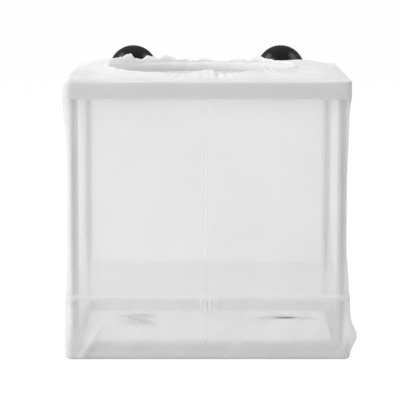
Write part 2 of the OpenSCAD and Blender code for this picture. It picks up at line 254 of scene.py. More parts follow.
def make_piece(name, points, faces, material, body="box", cut=None, layers=1.0, painted_crease_shade=0.0):
    """A mesh from points in millimetres. cut gives each point's place in the flat cloth, layers how
    many layers of cloth lie there, and painted_crease_shade how much painted shade darkens a crease."""
    mesh = bpy.data.meshes.new(name)
    mesh.from_pydata((np.asarray(points, float) * MM).tolist(), [], faces)
    mesh.validate()
    if cut is not None:
        layer = mesh.uv_layers.new(name="cut_in_metres")
        corners = np.zeros(len(mesh.loops), int)
        mesh.loops.foreach_get("vertex_index", corners)
        layer.data.foreach_set("uv", (np.asarray(cut, float)[corners] * MM).ravel())
    for attribute, values in (("layers", layers), ("painted_crease_shade", painted_crease_shade)):
        values = np.broadcast_to(values, len(points)).ravel().astype(float)
        mesh.attributes.new(attribute, "FLOAT", "POINT").data.foreach_set("value", values)
    mesh.polygons.foreach_set("use_smooth", [True] * len(mesh.polygons))
    mesh.materials.append(material)
    piece = bpy.data.objects.new(name, mesh)
    scene.collection.objects.link(piece)
    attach(piece, body)
    return piece


def grid_faces(rows, columns, closed=False):
    """The quads of a grid of points, one row after another. A closed grid joins end to end."""
    faces = []
    for r in range(rows - 1):
        for c in range(columns if closed else columns - 1):
            d = (c + 1) % columns
            faces.append((r * columns + c, r * columns + d,
                          (r + 1) * columns + d, (r + 1) * columns + c))
    return faces


def uneven(a, b, length, seed):
    """Smooth unevenness, about -1 to 1, in waves of about this length over two coordinates."""
    draw = random.Random(seed)
    total = 0
    for _ in range(7):
        turn, start = draw.uniform(0, math.tau), draw.uniform(0, math.tau)
        wave = math.tau / (length * draw.uniform(0.7, 1.5))
        total = total + np.sin(wave * (a * math.cos(turn) + b * math.sin(turn)) + start)
    return total / 3.2


def crease(a, b, start, end, width):
    """1 along the line from start to end, and 0 away from it and at its ends."""
    run = np.array([end[0] - start[0], end[1] - start[1]], float)
    length = np.hypot(*run)
    along = ((a - start[0]) * run[0] + (b - start[1]) * run[1]) / length ** 2
    aside = ((a - start[0]) * run[1] - (b - start[1]) * run[0]) / length
    return np.sqrt(np.clip(4 * along * (1 - along), 0, 1)) * np.exp(-(aside / width) ** 2)


def ease(value, start, end):
    """0 up to start, 1 from end on, and smooth in between."""
    t = np.clip((value - start) / (end - start), 0, 1)
    return t * t * (3 - 2 * t)


def floor_z(y):
    """Height of the second floor, which is lower at the back."""
    return SECOND_FLOOR_Z - SECOND_FLOOR_DROP * (y + BOX_HALF_D) / (2 * BOX_HALF_D)


def round_the_bag(stops_front_right, stops_side, stops_rear, stops_front_left):
    """Places round the bag from the seam, as rows of x, y, outward x, outward y."""
    straight_x, straight_y = HALF_W - BAG_CORNER_R, HALF_D - BAG_CORNER_R
    places = [(x, -HALF_D, 0, -1) for x in stops_front_right]

    def add_corner(cx, cy, first):
        for k in range(1, 12):
            a = math.radians(first + 90 * k / 12)
            places.append((cx + BAG_CORNER_R * math.cos(a), cy + BAG_CORNER_R * math.sin(a),
                           math.cos(a), math.sin(a)))

    add_corner(straight_x, -straight_y, -90)
    places.extend((HALF_W, y, 1, 0) for y in stops_side)
    add_corner(straight_x, straight_y, 0)
    places.extend((x, HALF_D, 0, 1) for x in stops_rear[::-1])
    add_corner(-straight_x, straight_y, 90)
    places.extend((-HALF_W, y, -1, 0) for y in stops_side[::-1])
    add_corner(-straight_x, -straight_y, 180)
    places.extend((x, -HALF_D, 0, -1) for x in stops_front_left)
    return np.array(places)


def edge_roll(z):
    """How far the wall has turned in over the frame's lowest and highest edges."""
    return (TURNED_IN_LOW * (1 - ease(z, 0.1, 1.8)) ** 2
            + TURNED_IN_HIGH * ease(z, 155.6, 156.9) ** 2)


def wall_profile(x, y, z, out_x):
    """How far the wall stands out from its plan at a height."""
    low = (z - 0.5) / (floor_z(y) - 0.5)
    high = (z - floor_z(y)) / (UNDER_TOP_RING - floor_z(y))
    near_front = 0.5 - y / (2 * BOX_HALF_D)
    to_right, to_left = np.maximum(out_x, 0), np.maximum(-out_x, 0)
    sagging = SAG_MM * np.exp(-((z - SAG_Z) / SAG_HIGH) ** 2) * to_right * near_front
    loose_left = to_left * (LEFT_LOOSE_LOW * np.sin(np.pi * np.clip(low, 0, 1) ** 0.5)
                            + LEFT_LOOSE_HIGH * ease(z, 118, 144) * (1 - ease(z, 153, 156.5)))
    drawn = (DRAWN_IN + 0.2 * to_right - 0.7 * to_left) * (
        np.maximum(np.sin(np.pi * np.clip(high, 0, 1)), 0) ** 0.6)
    return sagging + loose_left - drawn - edge_roll(z)


front_x = HALF_W - BAG_CORNER_R
side_y = HALF_D - BAG_CORNER_R
places = round_the_bag(
    np.concatenate([np.arange(SEAM_X, 10, 0.6), np.linspace(10, front_x, 34)]),
    np.linspace(-side_y, side_y, 76),
    np.linspace(-front_x, front_x, 76),
    np.concatenate([np.linspace(-front_x, -52, 38), np.linspace(-51.4, -9, 70),
                    np.linspace(-8, SEAM_X, 13)]))
heights = np.concatenate([[0.3, 0.5, 0.8, 1.2, 1.7, 2.3], np.arange(3, 37, 0.85),
                          np.linspace(38, 140, 42), np.arange(141, 155, 1),
                          [155.2, 155.7, 156.1, 156.4, WALL_TOP_Z]])
plan_x, plan_y, out_x, out_y = (np.broadcast_to(places[:, k], (len(heights), len(places)))
                                for k in range(4))
z = np.broadcast_to(heights[:, None], plan_x.shape)
steps = np.hypot(np.diff(places[:, 0]), np.diff(places[:, 1]))
round_mm = np.concatenate([[0], np.cumsum(steps)])
along = np.broadcast_to(round_mm, plan_x.shape)
on_front = (out_y < -0.5).astype(float)

out = wall_profile(plan_x, plan_y, z, out_x)
free = ease(z, 37, 50) * (1 - ease(z, 138, 146))
loose = ease(z, 3, 10) * (1 - ease(z, 27, 34))
out += 0.22 * free * uneven(along, z, 42, 1)
out += 0.35 * loose * uneven(along, z, 24, 2)

# The seam pulls the cloth up into a small tuck under the top ring, and into puckers under the floor
out += 0.3 * on_front * (crease(plan_x, z, (-6.5, 147.5), (SEAM_X, 138), 0.7)
                         + crease(plan_x, z, (4.5, 147.5), (SEAM_X, 138), 0.7))
for x_mm, size in ((-3.4, 0.5), (-0.9, 0.7), (1.5, 0.8), (3.9, 0.8), (6.1, 0.5)):
    out += size * on_front * crease(plan_x, z, (x_mm, 26), (x_mm, 35.3), 0.62)

# The bag is cut a little large: at the lower left the front is folded over itself on a slant, and
# two soft folds lie to the right of the seam
FOLD_FOOT, FOLD_HEAD = (-73, -2), (-59, 20)
out += 0.75 * on_front * crease(plan_x, z, FOLD_FOOT, FOLD_HEAD, 1.9)
out += 0.5 * on_front * (crease(plan_x, z, (8, -2), (22, 13), 1.6)
                         + crease(plan_x, z, (38, 26), (70, 6), 2.2))


def corner_puff(x, y):
    """How high loose cloth stands over the front left corner, where the bag is a little too large."""
    return PUFF_HIGH * np.exp(-((x - PUFF_X) ** 2 + (y - PUFF_Y) ** 2) / PUFF_WIDE ** 2)


lifted_z = z + corner_puff(plan_x, plan_y) * ease(z, 148, WALL_TOP_Z)
wall_points = np.stack([plan_x + out_x * out, plan_y + out_y * out, lifted_z], axis=-1)
wall_faces = grid_faces(len(heights), len(places))

# The upper edge is turned in for its seam, and the lower one less. The net lies double round the
# corner pieces, where the second floor is sewn to it, in the puckers, and in the slanted fold and to
# the left of it
turned_in = ease(z, UNDER_TOP_RING - 0.5, UNDER_TOP_RING + 0.5) + 0.3 * (1 - ease(z, 3, 6))
wall_layers = 1.04 + 1.8 * np.abs(out_x * out_y) + 1.4 * turned_in
over_floor = z - floor_z(plan_y)
at_floor_seam = ease(over_floor, -2.2, -1.4) * (1 - ease(over_floor, 0.4, 1.2))
wall_layers += 1.5 * at_floor_seam * (0.1 + 0.9 * ease(-plan_y, -60, 60))
for x_mm in (SEAM_X - 1.7, SEAM_X + 2.1):
    wall_layers += 3 * on_front * crease(plan_x, z, (x_mm, 26.5), (x_mm, 36), 0.75)
left_of_fold = ease(-71.7 + (z - 1.3) * 0.71 - plan_x, -0.5, 0.7) * (1 - ease(z, 12, 19))
wall_layers += on_front * (0.9 * left_of_fold + 2.6 * crease(plan_x, z, FOLD_FOOT, FOLD_HEAD, 1.7))

# The stitches of the front seam draw the mesh open along it
beside_seam = on_front * np.exp(-(plan_x - SEAM_X) ** 2) * ease(z, 8, 12) * (1 - ease(z, 144, 147))
wall_layers -= 0.55 * beside_seam

# Small sharp creases under the second floor, drawn as closed cloth with painted shade but no shape
# of their own: a cluster at the left, a slit at the right and faint ones between them. The last
# column is how much painted shade darkens the cloth there.
small_creases = [  # start, end, width, how much the cloth shades itself there
    ((-47, 26.2), (-31, 25.9), 0.4, 0.35), ((-45, 24.6), (-31, 24.3), 0.35, 0.3),
    ((-46, 24.9), (-33.5, 21.6), 0.45, 0.5), ((-48, 19.6), (-31, 20.4), 0.5, 0.2),
    ((36, 24.5), (49.5, 24.2), 0.45, 1.0), ((49, 24.3), (62, 24.6), 0.45, 0.15),
    ((22, 21.2), (37, 22.8), 0.8, 0.1), ((4, 25.2), (18, 25), 0.5, 0.12),
]
wall_painted_crease_shade = np.zeros_like(z)
for start, end, width, dark in small_creases:
    wall_painted_crease_shade += dark * on_front * crease(plan_x, z, start, end, width)
wall_painted_crease_shade = np.clip(wall_painted_crease_shade, 0, 1)
wall_layers += 4 * wall_painted_crease_shade
wall = make_piece("bag_wall", wall_points.reshape(-1, 3), wall_faces, nylon_net,
                  cut=np.stack([along, z], axis=-1).reshape(-1, 2), layers=wall_layers.ravel(),
                  painted_crease_shade=wall_painted_crease_shade.ravel())
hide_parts("wall_net")


# THE BAG'S BOTTOM
# A rectangle of the same net, sewn to the wall along the lower edges. It lies slack on whatever the
# box stands on, so it has a few flat folds.
BOTTOM_Z = 0.25
FLOOR_LAYERS = 1.3  # threads stand above the cloth, so it looks closed from a low angle
roll_low = edge_roll(heights[0])
columns_x = np.linspace(-1, 1, 121)
rows_y = np.concatenate([np.linspace(-1, 0.1, 50), np.linspace(0.11, 0.75, 120),
                         np.linspace(0.77, 1, 12)])


def round_corners(u, v, half_x, half_y, r):
    """Places in a rounded rectangle for places in the square from -1 to 1."""
    x, y = u * half_x, v * half_y
    over_x = np.maximum(np.abs(x) - (half_x - r), 0)
    over_y = np.maximum(np.abs(y) - (half_y - r), 0)
    reach = np.maximum(over_x, over_y)
    far = np.hypot(over_x, over_y)
    pull = np.where(far > 0, reach / np.maximum(far, 1e-9), 1)
    return (np.sign(x) * (np.minimum(np.abs(x), half_x - r) + over_x * pull),
            np.sign(y) * (np.minimum(np.abs(y), half_y - r) + over_y * pull))


u, v = np.meshgrid(columns_x, rows_y)
x, y = round_corners(u, v, HALF_W - roll_low, HALF_D - roll_low, BAG_CORNER_R - roll_low)
inside = (1 - ease(np.abs(x), 66, 72)) * (1 - ease(np.abs(y), 64, 70))
bottom_folds = [
    ((-56, 26), (-30, 22), 1.2, 3.4), ((-52, 34), (-33, 31), 1.0, 2.8),
    ((-58, 44), (-30, 47), 1.3, 3.0), ((-40, 12), (6, 18), 1.8, 1.0),
    ((-24, 38), (24, 41), 1.5, 1.3), ((-10, 52), (30, 50), 1.6, 1.0),
    ((22, 41), (70, 38), 1.2, 2.6), ((34, 39.5), (50, 39.0), 0.9, 1.2),
    ((16, 26), (44, 30), 1.8, 0.9), ((-62, 2), (-44, -30), 2.4, 1.0),
    ((50, -8), (64, 20), 2.2, 0.9),
]
lift = 0.25 + 0.25 * uneven(x, y, 26, 3)
bottom_layers = np.full_like(x, FLOOR_LAYERS)
for start, end, width, height in bottom_folds:
    lift = lift + height * crease(x, y, start, end, width)
    bottom_layers += 4 * height * crease(x, y, start, end, 0.5 * width)
lift = inside * np.maximum(lift, 0)
bottom_points = np.stack([x, y - 0.8 * lift, BOTTOM_Z + lift], axis=-1)  # the folds lean forward
bottom = make_piece("bag_bottom", bottom_points.reshape(-1, 3),
                    grid_faces(len(rows_y), len(columns_x)), nylon_net,
                    cut=np.stack([x, y], axis=-1).reshape(-1, 2), layers=bottom_layers.ravel())
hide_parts("bottom_net")


# THE SECOND FLOOR
# A flat panel of net is sewn in all the way round, a few centimetres above the bottom, so that fry
# can drop under it. The four posts go up through holes in its corners.
POST_HOLE_FROM, POST_HOLE_TO = 2.6, 8.2  # in from the box's outside
EDGE_INSIDE = 0.7
SECOND_FLOOR_LAYERS = 1.0


def stops_with_hole(half, count):
    """Places across the floor, with stops at both edges of the holes for the posts."""
    near, far = half - POST_HOLE_TO, half - POST_HOLE_FROM
    in_hole = np.linspace(near, far, 5)
    return np.concatenate([[EDGE_INSIDE - half], -in_hole[:0:-1], np.linspace(-near, near, count),
                           in_hole[1:], [half - EDGE_INSIDE]])


floor_x, floor_y = stops_with_hole(BOX_HALF_W, 90), stops_with_hole(BOX_HALF_D, 100)
x, y = np.meshgrid(floor_x, floor_y)
slack = np.cos(np.pi * x / (2 * BOX_HALF_W)) * np.cos(np.pi * y / (2 * BOX_HALF_D))
height = floor_z(y) - 0.7 * slack + 0.22 * slack * uneven(x, y, 38, 5)
height += 0.5 * crease(x, y, (-70, 60), (-20, 30), 3) + 0.4 * crease(x, y, (30, -60), (72, -20), 3)
floor_faces = []
for row, column in ((r, c) for r in range(len(floor_y) - 1) for c in range(len(floor_x) - 1)):
    mid_x = abs(floor_x[column] + floor_x[column + 1]) / 2
    mid_y = abs(floor_y[row] + floor_y[row + 1]) / 2
    in_x = POST_HOLE_FROM < BOX_HALF_W - mid_x < POST_HOLE_TO
    in_y = POST_HOLE_FROM < BOX_HALF_D - mid_y < POST_HOLE_TO
    at_outer_corner = max(BOX_HALF_W - mid_x, BOX_HALF_D - mid_y) < POST_HOLE_FROM
    if not (in_x and in_y) and not at_outer_corner:
        k = row * len(floor_x) + column
        floor_faces.append((k, k + 1, k + 1 + len(floor_x), k + len(floor_x)))
floor_points = np.stack([x, y, height], axis=-1).reshape(-1, 3)
used = sorted({k for face in floor_faces for k in face})
renumber = {old: new for new, old in enumerate(used)}
second_floor = make_piece("second_floor", floor_points[used],
                          [tuple(renumber[k] for k in face) for face in floor_faces], nylon_net,
                          cut=np.stack([x, y], axis=-1).reshape(-1, 2)[used],
                          layers=SECOND_FLOOR_LAYERS)
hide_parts("divider_net")


# THE TOP AND ITS GATHERED MOUTH
# The top panel is sewn to the wall along the upper edges. Its middle is cut out, and the edge is
# turned over an elastic cord into a hem, which gathers it into pleats and a ruffle.
MOUTH_X, MOUTH_Y = -4, 2
MOUTH_HALF_W, MOUTH_HALF_D = 53, 46
TOP_COLUMNS = 720
turn = np.linspace(0, math.tau, TOP_COLUMNS, endpoint=False)
mouth_x = MOUTH_X + MOUTH_HALF_W * np.cos(turn)
mouth_y = MOUTH_Y + MOUTH_HALF_D * np.sin(turn)


def gathers(turns, counts, seed):
    """Uneven waves round the mouth, about -1 to 1, from these counts of waves."""
    draw = random.Random(seed)
    total = 0
    for count in counts:
        total = total + draw.uniform(0.6, 1) * np.sin(count * turns + draw.uniform(0, math.tau))
    return total / len(counts) ** 0.5


lumps = gathers(turn, (17, 23, 29, 36), 7)
pleats = gathers(turn, (58, 71, 83), 8)
bumps = np.abs(gathers(turn, (21, 34, 47), 10))

# Where each line from the mouth's middle meets the outline of the box
from_x, from_y = np.cos(turn) * MOUTH_HALF_W, np.sin(turn) * MOUTH_HALF_D
roll_top = edge_roll(WALL_TOP_Z)
near, far = np.ones(TOP_COLUMNS), np.full(TOP_COLUMNS, 3.0)
for _ in range(40):
    middle = (near + far) / 2
    qx = np.abs(MOUTH_X + from_x * middle) - (HALF_W - BAG_CORNER_R)
    qy = np.abs(MOUTH_Y + from_y * middle) - (HALF_D - BAG_CORNER_R)
    beyond = (np.hypot(np.maximum(qx, 0), np.maximum(qy, 0)) + np.minimum(np.maximum(qx, qy), 0)
              - (BAG_CORNER_R - roll_top)) > 0
    far, near = np.where(beyond, middle, far), np.where(beyond, near, middle)
rim_x, rim_y = MOUTH_X + from_x * near, MOUTH_Y + from_y * near

# The gathers make the panel stand up towards the mouth, most of all at the back and the left
stand_up = 0.5 + 0.9 * np.maximum(np.sin(turn), 0) + 1.2 * np.maximum(np.cos(turn - 2.3), 0) ** 2

SKIRT = 12.6
SEAM_ALLOWANCE = 5
BACK_PUFF_Y, BACK_PUFF_WIDE = 56, 17
edge_rise = [WALL_TOP_Z, 156.72, 156.77, 156.78]
rings, ring_layers = [], []
skirt_x, skirt_y = mouth_x + SKIRT * np.cos(turn), mouth_y + SKIRT * np.sin(turn)
for k, share in enumerate(np.concatenate([[0, 0.01, 0.03, 0.06], np.linspace(0.12, 1, 14)])):
    x = rim_x + (skirt_x - rim_x) * share
    y = rim_y + (skirt_y - rim_y) * share
    rise = edge_rise[min(k, 3)]
    puff = stand_up * ease(share, 0, 1) + 0.25 * ease(share, 0.05, 0.4) * uneven(x, y, 24, 11)
    for puff_x, size in ((-57, 2.4), (57, 2.2)):
        from_puff = np.hypot(x - puff_x, y - BACK_PUFF_Y)
        puff = puff + size * ease(share, 0, 0.4) * np.exp(-(from_puff / BACK_PUFF_WIDE) ** 2)
    rings.append((x, y, rise + puff + corner_puff(x, y) + 0.3 * share ** 3 * pleats))
    from_edge = np.hypot(x - rim_x, y - rim_y)
    ring_layers.append(2 + 2 * share + 2.5 * (1 - ease(from_edge, SEAM_ALLOWANCE, SEAM_ALLOWANCE + 3)))

# Height of the ruffle's crest over the roof, by place across: it stands in uneven lumps
BACK_CREST = [(-60, 4), (-55, 6.5), (-49, 6.6), (-47, 8.2), (-45, 8.6), (-43, 5.8), (-40, 4.7),
              (-38, 4.3), (-35, 6.9), (-32, 6.2), (-29.5, 4.8), (-25, 6.1), (-21, 6), (-17.5, 4),
              (-12, 4), (-7, 3.3), (-1, 4.6), (2.5, 3.4), (6, 2.8), (12, 3), (16, 4.6), (22, 4.8),
              (23.5, 3.2), (27, 5.2), (30, 6.6), (33, 5.5), (38, 4.6), (43, 4.6), (48, 4.4),
              (52, 3.4)]
FRONT_CREST = [(-58, 3.6), (-48, 2.6), (-40, 2.2), (-28, 2.3), (-18.6, 1.6), (-12, 1.4), (-7.5, 3),
               (-1.7, 3.8), (3, 4), (4.4, 1.7), (6.5, 1.6), (12, 1.6), (18, 2.2), (20, 3), (35, 3),
               (50, 3.4)]
LUMP_MM, PLEAT_MM = 0.75, 0.5
DEEP_PLEATS_X, DEEP_PLEATS_WIDE = 3, 11
TUBE_MM = 2.25
TUBE_HANGS = 4  # how many times lower than drawn in the path the hem's tube hangs
HEM_LAYERS = 5  # folded double, and gathered to about half its length
hem_path = [  # out from the mouth, up, share of the lumps, share of the pleats
    (10.8, 0.15, 0.15, 0.38), (9.0, 0.3, 0.3, 0.45), (7.4, 0.5, 0.45, 0.5), (6.0, 0.8, 0.6, 0.5),
    (5.0, 1.3, 0.75, 0.45), (4.3, 2.0, 0.85, 0.4), (3.8, 2.8, 0.95, 0.35), (3.3, 3.6, 1, 0.32),
    (2.7, 4.25, 1, 0.3), (2.0, 4.6, 1, 0.3), (1.35, 4.4, 1, 0.3), (0.85, 3.8, 0.9, 0.3),
    (0.8, 3.1, 0.75, 0.28), (1.3, 2.6, 0.5, 0.25), (1.35, 2.35, 0.4, 0.25), (0.6, 2.15, 0.35, 0.25),
    (0.2, 1.7, 0.35, 0.22), (0.05, 1.1, 0.3, 0.2), (0.1, 0.4, 0.2, 0.12),
    (0.35, -0.3, 0.1, 0.08), (0.9, -0.75, 0.05, 0.05), (1.7, -0.85, 0, 0), (2.5, -0.7, 0, 0),
]
in_front = np.maximum(-np.sin(turn), 0) ** 0.5
behind = ease(np.sin(turn), -0.25, 0.25)
crest_out, crest_up = max(hem_path, key=lambda stop: stop[1])[:2]
front_crest, back_crest = (np.interp(mouth_x, *zip(*crest)) for crest in (FRONT_CREST, BACK_CREST))
front_size = front_crest / crest_up
ruffle_size = (back_crest - TUBE_MM) / (crest_up - TUBE_MM)
deeper = 1 + 1.2 * in_front * np.exp(-((mouth_x - DEEP_PLEATS_X) / DEEP_PLEATS_WIDE) ** 2)

# Each ring of the hem swings in and out with the lumps and pleats. Behind the mouth the tube keeps
# its size, and what stands above it follows the crest. In front all of the hem follows the crest, and
# the cloth slopes up to it more evenly
for out_mm, up_mm, lump, pleat in hem_path:
    swing = LUMP_MM * lump * lumps + PLEAT_MM * pleat * pleats * deeper
    x = mouth_x + (out_mm + swing) * np.cos(turn)
    y = mouth_y + (out_mm + swing) * np.sin(turn)
    ramp = crest_up * (hem_path[0][0] - out_mm) / (hem_path[0][0] - crest_out)
    slope = ramp - up_mm if out_mm > crest_out else 0
    up_mm = up_mm if up_mm > 0 else TUBE_HANGS * up_mm
    tube = min(up_mm, TUBE_MM)
    lifted = (tube * (behind + (1 - behind) * front_size)
              + (up_mm - tube) * (behind * ruffle_size + (1 - behind) * front_size)
              + 0.7 * slope * in_front * front_size)
    lifted = lifted * (1 + 0.06 * lump * np.roll(lumps, 9) + 0.14 * lump * in_front * bumps)
    lifted = lifted + stand_up * (1 - ease(np.array(up_mm), 0, 4.0)) * (1 if out_mm > 2.2 else 0)
    rings.append((x, y, ROOF_Z + lifted + pleat * pleats * deeper * (1 if out_mm > 4 else 0.5)))
    ring_layers.append(np.full(TOP_COLUMNS, HEM_LAYERS))
top_points = np.array([np.stack(ring, axis=-1) for ring in rings])
lengths = np.linalg.norm(np.diff(top_points, axis=0), axis=-1).mean(axis=1)
ring_mm = np.concatenate([[0], np.cumsum(lengths)])
edge_cut = np.stack([rim_x, rim_y], axis=-1)
towards = np.stack([mouth_x, mouth_y], axis=-1) - edge_cut
towards /= np.linalg.norm(towards, axis=-1, keepdims=True)
top_cut = edge_cut[None] + towards[None] * ring_mm[:, None, None]
top = make_piece("bag_top", top_points.reshape(-1, 3),
                 grid_faces(len(rings), TOP_COLUMNS, closed=True), nylon_net,
                 cut=top_cut.reshape(-1, 2), layers=np.array(ring_layers).ravel())
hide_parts("top_net")


# THE SEAMS
# The wall's ends, and the second floor's edge, are sewn into folded strips of the same net, four
# layers thick, on the inside of the wall. A lockstitch in white polyester holds each of them.
SEAM_WIDE, SEAM_THICK = 1.4, 0.8
STITCH_PITCH, STITCH_LONG, STITCH_THICK = 2.6, 1.9, 0.34
OFF_THE_WALL = 0.6
LOWER_SEAM_FROM_Z = 3.0
STRIP_OPEN = 0.72  # the share that one layer of the strip lets through
UPRIGHT_LAYERS = 0.12
CROSS_THREAD_MM, CROSS_THREAD_DEEP_MM = 0.6, 0.08
LIGHT_GOES_IN_MM = 2
THREAD_WHITE = "#F4F4F2"

# Folded net and thread: a soft white cloth that light goes into. The upright strips are drawn so open
# that they don't darken the front, and the second floor's strip closes towards the front
folded_net, tree = start_material("seam_net_folded")
place = add_node(tree, "ShaderNodeTexCoord").outputs["Object"]
cross_threads = add_node(tree, "ShaderNodeTexNoise", None,
                         {"Vector": place, "Scale": 1 / (CROSS_THREAD_MM * MM), "Detail": 2.0})
tint = add_node(tree, "ShaderNodeMix", {"data_type": "RGBA"},
                {0: cross_threads.outputs["Fac"], 6: linear(THREAD_WHITE), 7: linear(NYLON_SHADE)})
relief = add_node(tree, "ShaderNodeBump", None,
                  {"Height": cross_threads.outputs["Fac"], "Strength": 0.4,
                   "Distance": CROSS_THREAD_DEEP_MM * MM})
cloth = add_node(tree, "ShaderNodeBsdfPrincipled", None,
                 {"Base Color": tint.outputs[2], "Roughness": 0.7, "IOR": 1.53,
                  "Subsurface Weight": 1.0, "Subsurface Radius": (1.0, 1.0, 1.0),
                  "Subsurface Scale": LIGHT_GOES_IN_MM * MM, "Normal": relief.outputs[0]})
hole = add_node(tree, "ShaderNodeBsdfTransparent")
cloth_layers = add_node(tree, "ShaderNodeAttribute", {"attribute_name": "layers"})
left_open = add_node(tree, "ShaderNodeMath", {"operation": "POWER"},
                     {0: STRIP_OPEN, 1: cloth_layers.outputs["Fac"]})
strip = add_node(tree, "ShaderNodeMixShader", None,
                 {0: left_open.outputs[0], 1: cloth.outputs[0], 2: hole.outputs[0]})
add_node(tree, "ShaderNodeOutputMaterial", None, {"Surface": strip.outputs[0]})


def strip_section(wide, thick, corner=0.25):
    """The rounded cross-section of a folded strip."""
    section = []
    for cx, cy, first in ((1, 1, 0), (-1, 1, 90), (-1, -1, 180), (1, -1, 270)):
        for k in range(3):
            a = math.radians(first + 45 * k)
            section.append((cx * (wide / 2 - corner) + corner * math.cos(a),
                            cy * (thick / 2 - corner) + corner * math.sin(a)))
    return np.array(section)


def sweep(path, wide_way, thick_way, section, closed=False):
    """Points and faces of a section that is carried along a path."""
    path, wide_way, thick_way = (np.asarray(a, float) for a in (path, wide_way, thick_way))
    points = (path[:, None] + section[None, :, 0, None] * wide_way[:, None]
              + section[None, :, 1, None] * thick_way[:, None])
    n, m = len(path), len(section)
    faces = []
    for i in range(n if closed else n - 1):
        j = (i + 1) % n
        for k in range(m):
            q = (k + 1) % m
            faces.append((i * m + k, i * m + q, j * m + q, j * m + k))
    if not closed:
        faces.append(tuple(range(m))[::-1])
        faces.append(tuple((n - 1) * m + k for k in range(m)))
    return points.reshape(-1, 3), faces


def add_stitches(points, faces, path, wide_way, thick_way, lift):
    """Adds a row of lockstitches on the face of a strip to its points and faces."""
    path, points, faces = np.asarray(path, float), list(points), list(faces)
    lengths = np.concatenate([[0], np.cumsum(np.linalg.norm(np.diff(path, axis=0), axis=1))])

    def at(mm, values):
        return np.array([np.interp(mm, lengths, np.asarray(values, float)[:, k]) for k in range(3)])

    for mm in np.arange(STITCH_PITCH, lengths[-1] - STITCH_PITCH, STITCH_PITCH):
        middle, side, up = at(mm, path), at(mm, wide_way), at(mm, thick_way)
        forward = at(mm + 0.5, path) - at(mm - 0.5, path)
        forward /= np.linalg.norm(forward)
        middle = middle + up * lift
        first = len(points)
        for step, share in ((-1, 0.35), (-0.55, 0.9), (0, 1), (0.55, 0.9), (1, 0.35)):
            for k in range(6):
                a = math.radians(60 * k)
                points.append(middle + forward * step * STITCH_LONG / 2
                              + (side * math.cos(a) + up * math.sin(a)) * share * STITCH_THICK / 2)
        for i in range(4):
            for k in range(6):
                q = (k + 1) % 6
                faces.append((first + 6 * i + k, first + 6 * i + q,
                              first + 6 * (i + 1) + q, first + 6 * (i + 1) + k))
        faces.append(tuple(first + k for k in range(6))[::-1])
        faces.append(tuple(first + 24 + k for k in range(6)))
    return np.array(points), faces


def front_seam(name, low, high, node):
    """A length of the upright seam in the front, against the wall's inside."""
    heights = np.linspace(low, high, max(int((high - low) / 2), 8))
    front = np.full_like(heights, -BOX_HALF_D)
    stand = wall_profile(np.full_like(heights, SEAM_X), front, heights, np.zeros_like(heights))
    inset = OFF_THE_WALL + SEAM_THICK / 2
    path = np.stack([np.full_like(heights, SEAM_X) + 0.12 * np.sin(heights / 9),
                     front - stand + inset, heights], axis=-1)
    wide_way = np.tile([1.0, 0, 0], (len(path), 1))
    thick_way = np.tile([0, -1.0, 0], (len(path), 1))
    points, faces = sweep(path, wide_way, thick_way, strip_section(SEAM_WIDE, SEAM_THICK))
    points, faces = add_stitches(points, faces, path, wide_way, -thick_way, SEAM_THICK / 2)
    piece = make_piece(name, points, faces, folded_net, layers=UPRIGHT_LAYERS)
    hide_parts(node)
    return piece


seam_low, seam_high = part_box("front_seam_upper")
upper_seam = front_seam("front_seam_above_floor", seam_low.z / MM, seam_high.z / MM,
                        "front_seam_upper")
seam_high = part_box("front_seam_lower")[1]
lower_seam = front_seam("front_seam_below_floor", LOWER_SEAM_FROM_Z, seam_high.z / MM,
                        "front_seam_lower")

# The second floor's seam runs all the way round, under its edge
ring = round_the_bag(np.linspace(SEAM_X, front_x, 40), np.linspace(-side_y, side_y, 76),
                     np.linspace(-front_x, front_x, 80), np.linspace(-front_x, SEAM_X - 1, 40))
inset = OFF_THE_WALL + SEAM_THICK / 2 - NET_MM / 2
ring_z = floor_z(ring[:, 1]) - NET_MM / 2 - 0.1 - SEAM_WIDE / 2
ring_path = np.stack([ring[:, 0] - ring[:, 2] * inset, ring[:, 1] - ring[:, 3] * inset,
                      ring_z], axis=-1)
outwards = np.stack([ring[:, 2], ring[:, 3], np.zeros(len(ring))], axis=-1)
upwards = np.tile([0, 0, 1.0], (len(ring), 1))
points, faces = sweep(ring_path, upwards, outwards, strip_section(SEAM_WIDE, SEAM_THICK), True)
points, faces = add_stitches(points, faces, ring_path, upwards, -outwards, SEAM_THICK / 2)
floor_seam = make_piece("second_floor_seam", points, faces, folded_net,
                        layers=0.3 + 1.7 * ease(-points[:, 1], -60, 60))
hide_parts("divider_seam")


# THE ELASTIC IN THE HEM
# A round elastic cord, a rubber core braided over with white polyester, runs inside the hem all the
# way round the mouth and closes it to an oval.
ELASTIC_MM = 1.2
BRAID_MM = 7.26  # the real ribs are about 1 mm wide, and are drawn coarser
BRAID_DEEP_MM = 0.1
BRAID_SHADE = "#D9D9D7"
CORD_STOPS = 240

# Braided polyester over rubber: white and dull, with the slanting ribs of the braid. At a scale of 1
# the wave's diagonal bands turn by 10 radians for each metre along each of the three axes.
elastic_braid, tree = start_material("elastic_polyester_braid")
place = add_node(tree, "ShaderNodeTexCoord").outputs["Object"]
ribs = add_node(tree, "ShaderNodeTexWave", {"bands_direction": "DIAGONAL"},
                {"Vector": place, "Scale": math.tau / (10 * math.sqrt(3) * BRAID_MM * MM),
                 "Distortion": 1.5})
tint = add_node(tree, "ShaderNodeMix", {"data_type": "RGBA"},
                {0: ribs.outputs["Fac"], 6: linear(BRAID_SHADE), 7: linear(THREAD_WHITE)})
relief = add_node(tree, "ShaderNodeBump", None,
                  {"Height": ribs.outputs["Fac"], "Strength": 0.5,
                   "Distance": BRAID_DEEP_MM * MM})
surface = add_node(tree, "ShaderNodeBsdfPrincipled", None,
                   {"Base Color": tint.outputs[2], "Roughness": 0.75, "IOR": 1.53,
                    "Normal": relief.outputs[0]})
add_node(tree, "ShaderNodeOutputMaterial", None, {"Surface": surface.outputs[0]})

